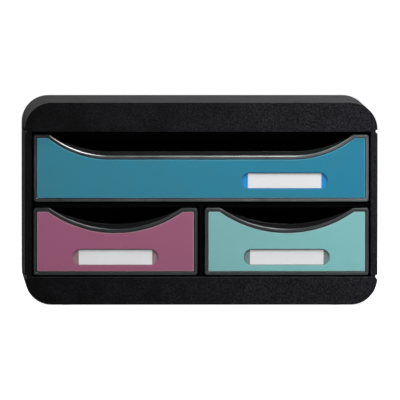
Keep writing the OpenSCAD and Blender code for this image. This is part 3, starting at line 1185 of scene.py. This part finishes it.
@dataclass
class Case:
    """The fixed black case: two caps, side panels, back, inner decks and feet."""

    paints: Paints
    corner: float = 27 * MM
    wall: float = 3.5 * MM
    groove_depth: float = 1.8 * MM
    groove_height: float = 2 * MM
    groove_length: float = 120 * MM
    rib_pitch: float = 110 * MM
    rib_thickness: float = 2 * MM
    top_rib_height: float = 4 * MM
    deck_thickness: float = 2.5 * MM
    cap_edge: float = 0.7 * MM
    panel_edge: float = 0.45 * MM
    shelf_edge: float = 0.09 * MM
    foot_pocket: float = 1.5 * MM
    foot_fit: float = 0.2 * MM
    tree: Tree = field(default_factory=cap_tree)

    def build(self) -> None:
        """Builds and dresses every piece of the case."""
        self._cap("top_cap", "top_cap_moulding", self.top_rib_height, 0.0)
        self._cap("base_cap", "base_moulding", None, math.pi)
        for node in ("left_side_panel", "right_side_panel", "back_panel"):
            self._moulding(node, CASE_PLASTIC, self.panel_edge)
        for node in ("bay_floor", "centre_divider"):
            self._moulding(node, INNER_PLASTIC, self.panel_edge)
        self._moulding("middle_shelf", INNER_PLASTIC, self.shelf_edge)
        self._feet()

    def _cap(self, node: str, name: str, rib_height: float | None, turn: float) -> None:
        """Builds a cap from the geometry tree, turns it over if asked, and dresses it.

        Args:
            node: The frame's node that it stands for.
            name: The piece's name.
            rib_height: Height of its ribs, or None for ribs that reach the deck.
            turn: Turn about the front-to-back axis.
        """
        low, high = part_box(node)
        size = high - low
        full_ribs = size.z - self.wall - self.deck_thickness
        values = {
            "Width": size.x,
            "Depth": size.y,
            "Height": size.z,
            "Corner": self.corner,
            "Wall": self.wall,
            "Groove depth": self.groove_depth,
            "Groove height": self.groove_height,
            "Groove length": self.groove_length,
            "Rib pitch": self.rib_pitch,
            "Rib thickness": self.rib_thickness,
            "Rib height": full_ribs if rib_height is None else rib_height,
            "Material": self.paints.of(CASE_PLASTIC),
        }
        cap = grow(object_from(bmesh.new(), name), self.tree, values)
        open_side = high.z if turn else low.z
        cap.data.transform(Matrix.Translation((0, 0, open_side)) @ Matrix.Rotation(turn, 4, "Y"))
        if turn:
            cap = carve(cap, cut=[self._pocket(centre) for centre in self._foot_centres()])
        present(soften(cap, self.cap_edge, 3), Body.CASE, CASE_PLASTIC, self.paints, node)

    def _moulding(self, node: str, finish: MouldedPlastic, edge: float) -> None:
        """Dresses a copy of a plain node, with its edges rounded."""
        piece = soften(copy_of(node, f"{node}_moulding"), edge)
        present(piece, Body.CASE, finish, self.paints, node)

    def _foot_nodes(self) -> list[str]:
        """The four nodes of the feet."""
        return [f"{end}_{side}_foot" for end in ("front", "back") for side in ("left", "right")]

    def _foot_centres(self) -> list[Vector]:
        """Where the feet stand."""
        boxes = [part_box(node) for node in self._foot_nodes()]
        return [Vector(((a.x + b.x) / 2, (a.y + b.y) / 2, a.z)) for a, b in boxes]

    def _foot_size(self) -> Vector:
        """Width, depth and height of a foot."""
        low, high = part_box(self._foot_nodes()[0])
        return high - low

    def _pocket(self, centre: Vector) -> Solid:
        """The round space that a foot is pressed into, as a solid that reaches below it.

        Args:
            centre: Where the foot stands.

        Returns:
            The solid.
        """
        size, skin = self._foot_size(), Skin()
        radius = size.x / 2 + self.foot_fit
        ring = arc((0, 0), radius, 0, 360 - 360 / POCKET_SIDES, POCKET_SIDES - 1)
        for z in (-self.foot_pocket, size.z):
            skin.ring(seen_from_above(ring, z, centre))
        return skin.close("foot_pocket")

    def _feet(self) -> None:
        """Builds the four rubber feet with one geometry tree."""
        points, size = bmesh.new(), self._foot_size()
        for centre in self._foot_centres():
            points.verts.new(centre)
        values = {"Radius": size.x / 2, "Height": size.z, "Material": self.paints.of(FOOT_RUBBER)}
        feet = grow(object_from(points, "rubber_feet"), foot_tree(), values)
        present(feet, Body.CASE, FOOT_RUBBER, self.paints, *self._foot_nodes())


# ---------------------------------------------------------------- the drawers


@dataclass
class Drawer:
    """One sliding drawer: its tray, face plate, label card and label window."""

    paints: Paints
    body: Body
    prefix: str
    plate_finish: MouldedPlastic
    tray_finish: MouldedPlastic
    scoop_depth: float = 21.5 * MM
    scoop_flat: float = 0.0
    front_height: float = 67.5 * MM
    front_corner: float = 2.5 * MM
    front_depth: float = 5 * MM
    shoulder: float = 15.8 * MM
    rim_width: float = 3 * MM
    rim_round: float = 0.35 * MM
    rim_bevel: float = 0.15 * MM
    rim_inner: float = 0.3 * MM
    rim_flat: float = 0.1 * MM
    rim_side: float = 0.3 * MM
    lip_back: float = 7.2 * MM
    lip_rise: float = 5.5 * MM
    lip_foot: float = 0.5 * MM
    lip_round: float = 0.1 * MM
    lip_inset: float = 0.1 * MM
    gap_drop: float = 1.5 * MM
    gap_more: float = 1 * MM
    plate_sink: float = 0.5 * MM
    plate_depth: float = 2.4 * MM
    plate_gap: float = 0.5 * MM
    plate_round: float = 0.5 * MM
    plate_slant: float = 2.0
    plate_crown: float = 0.02 * MM
    plate_border: float = 0.25 * MM
    body_inset: float = 1 * MM
    box_setback: float = 0.3 * MM
    wall: float = 2.2 * MM
    wall_height: float = 62 * MM
    wall_round: float = 0.7 * MM
    sole_round: float = 1 * MM
    floor_round: float = 2.5 * MM
    rear_corner: float = 4 * MM
    least_corner: float = 0.8 * MM
    overlap: float = 0.3 * MM
    lug_length: float = 8 * MM
    lug_setback: float = 194.5 * MM
    lug_side_gap: float = 0.05 * MM
    lug_round: float = 0.4 * MM
    lug_corner: float = 0.5 * MM
    lug_root: float = 3 * MM
    pocket_gap: float = 0.1 * MM
    pocket_flare: float = 0.3 * MM
    pocket_reach: float = 2 * MM
    card_edge: float = 0.08 * MM
    card_corner: float = 0.4 * MM
    window_sink: float = 0.5 * MM
    window_round: float = 0.4 * MM
    window_border: float = 0.3 * MM
    window_gap: float = 0.05 * MM
    origin: Vector = field(init=False)
    length: float = field(init=False)
    lug_top: float = field(init=False)
    outline: ScoopedOutline = field(init=False)

    def __post_init__(self) -> None:
        """Reads the drawer's place and size from the frame."""
        low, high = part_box(f"{self.prefix}_drawer_tray")
        self.origin = Vector(((low.x + high.x) / 2, low.y, low.z))
        self.length = high.y - low.y
        self.lug_top = high.z - low.z
        self.outline = ScoopedOutline(
            width=high.x - low.x,
            height=self.front_height,
            corner=self.front_corner,
            shoulder=self.shoulder,
            scoop_depth=self.scoop_depth,
            scoop_flat=self.scoop_flat,
        )

    def build(self) -> None:
        """Builds and dresses the drawer's four pieces."""
        self._tray()
        self._plate()
        self._card()
        self._window()

    # tray

    def _front(self) -> Solid:
        """The front moulding: recess, rounded rim, and the lip that stands behind the scoop.

        Returns:
            The solid.
        """
        at, skin = self.outline.points, Skin()
        recess = self.plate_sink + self.plate_depth
        edge = bevelled_edge(self.rim_bevel, self.rim_round)
        side = edge[-1][1]
        inner = self.rim_width - self.rim_inner
        steps = [(recess, self.rim_width), (self.rim_inner, self.rim_width), (0.0, inner)]
        for y, inset in [*steps, (0.0, edge[0][0] + self.rim_flat)]:
            skin.ring(facing(at(inset), y, self.origin))
        # The rim's bevelled edge is marked for the painted highlight.
        for inset, y in edge:
            skin.ring(facing(at(inset), y, self.origin), float(0.0 < y < side))
        skin.ring(facing(at(), side + self.rim_side, self.origin))
        for short, rise in fillet(self.lip_foot):
            skin.ring(facing(at(rise=rise), self.front_depth - short, self.origin))
        crest = fillet(self.lip_round)
        lip = [(drop, self.front_depth + y) for drop, y in crest]
        lip += [(drop, self.lip_back - y) for drop, y in reversed(crest)]
        for drop, y in lip:
            ring = at(self.lip_inset, self.body_inset, self.lip_rise - drop)
            skin.ring(facing(ring, y, self.origin))
        return skin.close(f"{self.prefix}_front")

    def _gap(self) -> Solid:
        """The space that the box's front wall leaves free, a little larger than the scoop.

        Returns:
            The solid.
        """
        skin, ring = Skin(), self.outline.scoop(self.lip_rise - self.gap_drop)
        for y in (self.lip_back + self.gap_more, 0.0):
            skin.ring(facing(ring, y, self.origin))
        return skin.close(f"{self.prefix}_gap")

    def _plan(self, inset: float, inner: bool = False) -> list[Point]:
        """The box's outline from above.

        Args:
            inset: How far it is drawn in.
            inner: Whether it is the inside, whose front lies behind the lip.

        Returns:
            The same number of points for any arguments.
        """
        radius = max(self.rear_corner - inset, self.least_corner)
        front = self.front_depth + self.box_setback + inset
        if inner:
            front = self.lip_back - self.overlap + inset - self.wall
        x, y = self.outline.width / 2 - self.body_inset - inset, self.length - inset
        ring = [(-x, front), (x, front)]
        ring += arc((x - radius, y - radius), radius, 0, 90, ARC_STEPS)
        return ring + arc((radius - x, y - radius), radius, 90, 180, ARC_STEPS)

    def _box(self) -> Solid:
        """The open box behind the front, with round floor edges and rear corners.

        Returns:
            The solid.
        """
        skin, top, wall = Skin(), fillet(self.wall_round), self.wall
        rings = [(self._plan(inset), z) for inset, z in fillet(self.sole_round)]
        rings += [(self._plan(inset), self.wall_height - z) for inset, z in reversed(top)]
        rings += [(self._plan(wall - inset, True), self.wall_height - z) for inset, z in top]
        hollow = reversed(fillet(self.floor_round))
        rings += [(self._plan(wall + inset, True), wall + z) for inset, z in hollow]
        for ring, z in rings:
            skin.ring(seen_from_above(ring, z, self.origin))
        return skin.close(f"{self.prefix}_box")

    def _lugs(self) -> list[Solid]:
        """The stop lugs on the side walls.

        Returns:
            The two lugs.
        """
        half_wall, half_length = self.wall / 2 - self.lug_side_gap, self.lug_length / 2
        middle = self.outline.width / 2 - self.body_inset - self.wall / 2
        steps = [(inset, self.lug_top - z) for inset, z in fillet(self.lug_round)]
        steps.append((0.0, self.wall_height - self.lug_root))
        made = []
        for x in (-middle, middle):
            skin = Skin()
            place = self.origin + Vector((x, self.lug_setback + half_length, 0))
            for inset, z in steps:
                ring = rounded_rectangle(half_wall - inset, half_length - inset, self.lug_corner)
                skin.ring(seen_from_above(ring, z, place))
            made.append(skin.close(f"{self.prefix}_lug"))
        return made

    def _tray(self) -> None:
        """Joins the front, the box and the lugs into one tray."""
        box = carve(self._box(), cut=[self._gap()])
        tray = carve(box, added=[self._front(), *self._lugs()])
        tray.name = f"{self.prefix}_tray_moulding"
        present(tray, self.body, self.tray_finish, self.paints, f"{self.prefix}_drawer_tray")

    # face plate and label

    def _plate(self) -> None:
        """The coloured plate in the rim, with the pocket for the label."""
        at, skin = self.outline.points, Skin()
        edge = self.rim_width + self.plate_gap
        inner = edge + self.plate_round * self.plate_slant + self.plate_border
        skin.ring(facing(at(edge), self.plate_sink + self.plate_depth, self.origin))
        for y, inset in fillet(self.plate_round):
            depth = self.plate_sink + self.plate_crown + y
            skin.ring(facing(at(edge + inset * self.plate_slant), depth, self.origin))
        skin.ring(facing(at(inner), self.plate_sink, self.origin))
        plate = carve(skin.close(f"{self.prefix}_plate"), cut=[self._pocket()])
        surface = self.origin.y + self.plate_sink
        # The plate's rounded edge is marked for the painted highlight.
        mark_edges(plate, surface + self.plate_crown / 2, surface + self.plate_round)
        node = f"{self.prefix}_face_plate"
        present(plate, self.body, self.plate_finish, self.paints, node)

    def _pocket(self) -> Solid:
        """The space of the label pocket, flared at the plate's surface.

        Returns:
            The solid.
        """
        node, skin = f"{self.prefix}_label_window", Skin()
        low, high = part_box(node)
        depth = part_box(f"{self.prefix}_label_card")[1].y - low.y
        gap, flare = self.pocket_gap, self.pocket_flare
        for y, more in ((depth, gap), (flare, gap), (0.0, flare), (-self.pocket_reach, flare)):
            ring = obround((high.x - low.x) / 2 + more, (high.z - low.z) / 2 + more)
            skin.ring(facing(ring, y, middle_of(node)))
        return skin.close(f"{self.prefix}_pocket")

    def _card(self) -> None:
        """The white card behind the window."""
        node, skin = f"{self.prefix}_label_card", Skin()
        low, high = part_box(node)
        half_w, half_h, depth = (high.x - low.x) / 2, (high.z - low.z) / 2, high.y - low.y
        edge = self.card_edge
        for y, inset in ((depth, edge), (depth - edge, 0.0), (edge, 0.0), (0.0, edge)):
            ring = rounded_rectangle(half_w - inset, half_h - inset, self.card_corner)
            skin.ring(facing(ring, y, middle_of(node)))
        present(skin.close(f"{self.prefix}_card"), self.body, CardStock(), self.paints, node)

    def _window(self) -> None:
        """The clear window, with a rounded front edge."""
        node, skin = f"{self.prefix}_label_window", Skin()
        low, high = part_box(node)
        half_w, half_h = (high.x - low.x) / 2, (high.z - low.z) / 2
        steps = [(high.y - low.y - self.window_gap, 0.0, 0.0)]
        # The rounded edge is marked with the edge highlight mask, which makes the window more
        # opaque there.
        steps += [(self.window_sink + y, x, 1.0) for y, x in fillet(self.window_round)]
        steps.append((self.window_sink, self.window_round + self.window_border, 0.0))
        for y, inset, light in steps:
            ring = obround(half_w - inset, half_h - inset)
            skin.ring(facing(ring, y, middle_of(node)), light)
        window = skin.close(f"{self.prefix}_window")
        present(window, self.body, ClearPlastic(), self.paints, node)


# ---------------------------------------------------------------- the studio


@dataclass(frozen=True)
class Softbox:
    """A rectangular area light, given by its sizes across and up and by its radiance."""

    name: str
    place: Place
    target: Place
    across: float
    up: float
    radiance: float

    def build(self) -> None:
        """Puts the light in the scene."""
        data = bpy.data.lights.new(self.name, "AREA")
        data.shape = "RECTANGLE"
        data.size = self.across
        data.size_y = self.up
        data.energy = self.radiance * self.across * self.up * math.pi
        light = bpy.data.objects.new(self.name, data)
        light.location = self.place
        aim = Vector(self.target) - Vector(self.place)
        light.rotation_euler = aim.to_track_quat("-Z", "Y").to_euler()
        bpy.context.scene.collection.objects.link(light)


@dataclass(frozen=True)
class Studio:
    """Camera, softboxes, pale floor and surroundings."""

    eye: Place = (-0.3892, -17.12, 0.6967)
    yaw: float = 1.3085
    pitch: float = 1.9898
    roll: float = 0.036
    lens: float = 1520.5
    sight: float = 300.0
    floor_half: float = 80.0
    floor_seen: Colour = (0.8, 0.8, 0.8, 1.0)
    floor_cast: Colour = (0.2, 0.2, 0.2, 1.0)
    floor_glow: float = 0.9
    room_front: float = 0.01
    room_back: float = 0.41
    backdrop: float = 1.1
    boxes: tuple[Softbox, ...] = (
        Softbox("overhead", (0.38, -0.75, 1.5), (0.1, -0.1, 0.1), 0.5, 0.8, 21.5),
        Softbox("overhead_right", (0.94, -0.75, 1.5), (0.1, -0.1, 0.1), 0.7, 0.8, 8.0),
        Softbox("overhead_left", (-0.75, -0.75, 1.5), (-0.1, -0.1, 0.1), 0.5, 0.8, 3.0),
        Softbox("haze_right", (0.22, -1.1, 0.62), (0.16, -0.13, 0.17), 0.08, 0.5, 22.0),
        Softbox("fill_left", (-2.2, -1.7, 1.2), (0.0, -0.1, 0.1), 1.2, 1.2, 1.5),
        Softbox("rim_left", (-1.3, 0.8, 1.3), (-0.1, 0.0, 0.1), 0.9, 0.9, 3.5),
    )

    def build(self) -> None:
        """Sets the whole studio up."""
        self._camera()
        self._floor()
        self._world()
        for box in self.boxes:
            box.build()
        bpy.context.scene.view_settings.view_transform = "Standard"

    def _camera(self) -> None:
        """Sets the camera up."""
        data = bpy.data.cameras.new("camera")
        data.lens = self.lens
        data.clip_end = self.sight
        camera = bpy.data.objects.new("camera", data)
        turn = Matrix.Rotation(math.radians(-self.yaw), 4, "Z")
        tilt = Matrix.Rotation(math.radians(90 - self.pitch), 4, "X")
        lean = Matrix.Rotation(math.radians(self.roll), 4, "Z")
        camera.matrix_world = Matrix.Translation(self.eye) @ turn @ tilt @ lean
        bpy.context.scene.collection.objects.link(camera)
        bpy.context.scene.camera = camera

    def _floor(self) -> None:
        """Lays the pale floor, which is brighter to the eye than to the object on it."""
        mesh, reach = bmesh.new(), self.floor_half
        corners = ((-reach, -reach), (reach, -reach), (reach, reach), (-reach, reach))
        mesh.faces.new([mesh.verts.new((x, y, 0.0)) for x, y in corners])
        floor = object_from(mesh, "floor")
        sheet = MaterialSheet("pale_floor")
        seen = sheet.out("ShaderNodeLightPath", output="Is Camera Ray")
        made = sheet.close(
            {
                "Base Color": sheet.blend(seen, self.floor_cast, self.floor_seen),
                "Roughness": 0.9,
                "Emission Color": WHITE,
                "Emission Strength": sheet.math("MULTIPLY", seen, self.floor_glow),
                "Specular IOR Level": 0.1,
            }
        )
        floor.data.materials.append(made)

    def _world(self) -> None:
        """Sets white surroundings for the eye, and a room that is dark in front."""
        world = bpy.data.worlds.new("studio")
        bpy.context.scene.world = world
        world.use_nodes = True
        sheet = NodeSheet(world.node_tree)
        sheet.tree.nodes.clear()
        towards = sheet.out("ShaderNodeTexCoord", output="Generated")
        room_ends = (self.room_front, self.room_back)
        behind = sheet.remap(sheet.part(towards, "Y"), -0.3, 0.9, *room_ends)
        across = sheet.remap(sheet.part(towards, "X"), -0.5, 0.5, 0.5, 1.5)
        glow = sheet.math("MULTIPLY", behind, across)
        room = sheet.out("ShaderNodeBackground", {"Color": WHITE, "Strength": glow})
        sky = sheet.out("ShaderNodeBackground", {"Color": WHITE, "Strength": self.backdrop})
        seen = sheet.out("ShaderNodeLightPath", output="Is Camera Ray")
        mixed = sheet.out("ShaderNodeMixShader", {0: seen, 1: room, 2: sky})
        sheet.add("ShaderNodeOutputWorld", {"Surface": mixed})


# ---------------------------------------------------------------- main


def main() -> None:
    """Builds the studio, the case and the drawers."""
    logging.basicConfig(level=logging.INFO, format="%(name)s: %(message)s")
    Studio().build()
    paints = Paints()
    Case(paints).build()
    Drawer(
        paints,
        Body.WIDE,
        "wide",
        TEAL_PLASTIC,
        WIDE_TRAY_PLASTIC,
        scoop_flat=184 * MM,
        rim_bevel=0.7 * MM,
        lip_rise=4.5 * MM,
        lug_setback=190.8 * MM,
    ).build()
    Drawer(paints, Body.LEFT, "left", PLUM_PLASTIC, TRAY_PLASTIC).build()
    Drawer(paints, Body.RIGHT, "right", AQUA_PLASTIC, TRAY_PLASTIC).build()


if __name__ == "__main__":
    main()
